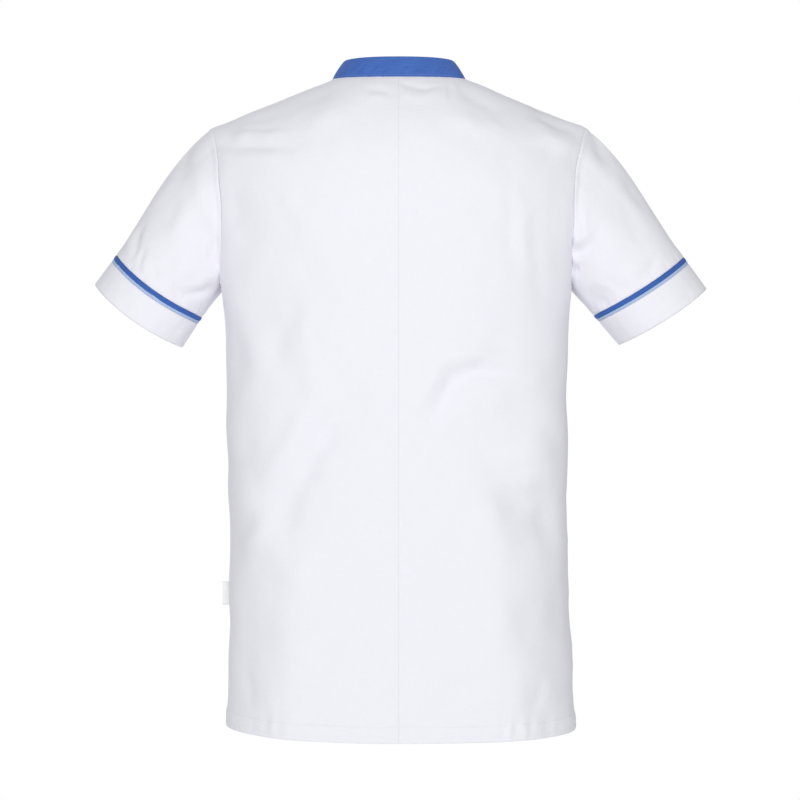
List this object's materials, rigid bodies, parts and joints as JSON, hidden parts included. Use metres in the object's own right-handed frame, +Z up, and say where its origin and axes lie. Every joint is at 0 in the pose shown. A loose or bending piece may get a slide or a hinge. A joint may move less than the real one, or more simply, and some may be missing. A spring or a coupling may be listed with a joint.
{
  "type": "scrub top",
  "caption": "Pull-on scrub top with a stand collar, set-in short sleeves with blue trim above deep cuff bands and a centre-back seam, filled out as it hangs when worn.",
  "frame": {"origin": "midway between the two side neck points, where the shoulder seams meet the collar and the wearer's shoulders carry the garment", "axes": "+Z up along the body, +Y towards the back, +X towards the wearer's left"},
  "size_m": [0.7334, 0.2538, 0.7988],
  "materials": {
    "white_cloth": "matt plain-weave polycotton",
    "dark_blue_trim": "matt plain-weave polycotton",
    "light_blue_trim": "matt plain-weave polycotton",
    "blue_collar": "matt plain-weave polycotton",
    "label_tape": "smooth woven tape"
  },
  "bodies": {
    "root": {"back_left": "white_cloth", "back_right": "white_cloth", "front": "white_cloth", "sleeve_left": "white_cloth", "sleeve_right": "white_cloth", "cuff_band_left": "white_cloth", "cuff_band_right": "white_cloth", "trim_dark_left": "dark_blue_trim", "trim_dark_right": "dark_blue_trim", "trim_light_left": "light_blue_trim", "trim_light_right": "light_blue_trim", "collar": "blue_collar", "side_label": "label_tape"}
  },
  "joints": []
}
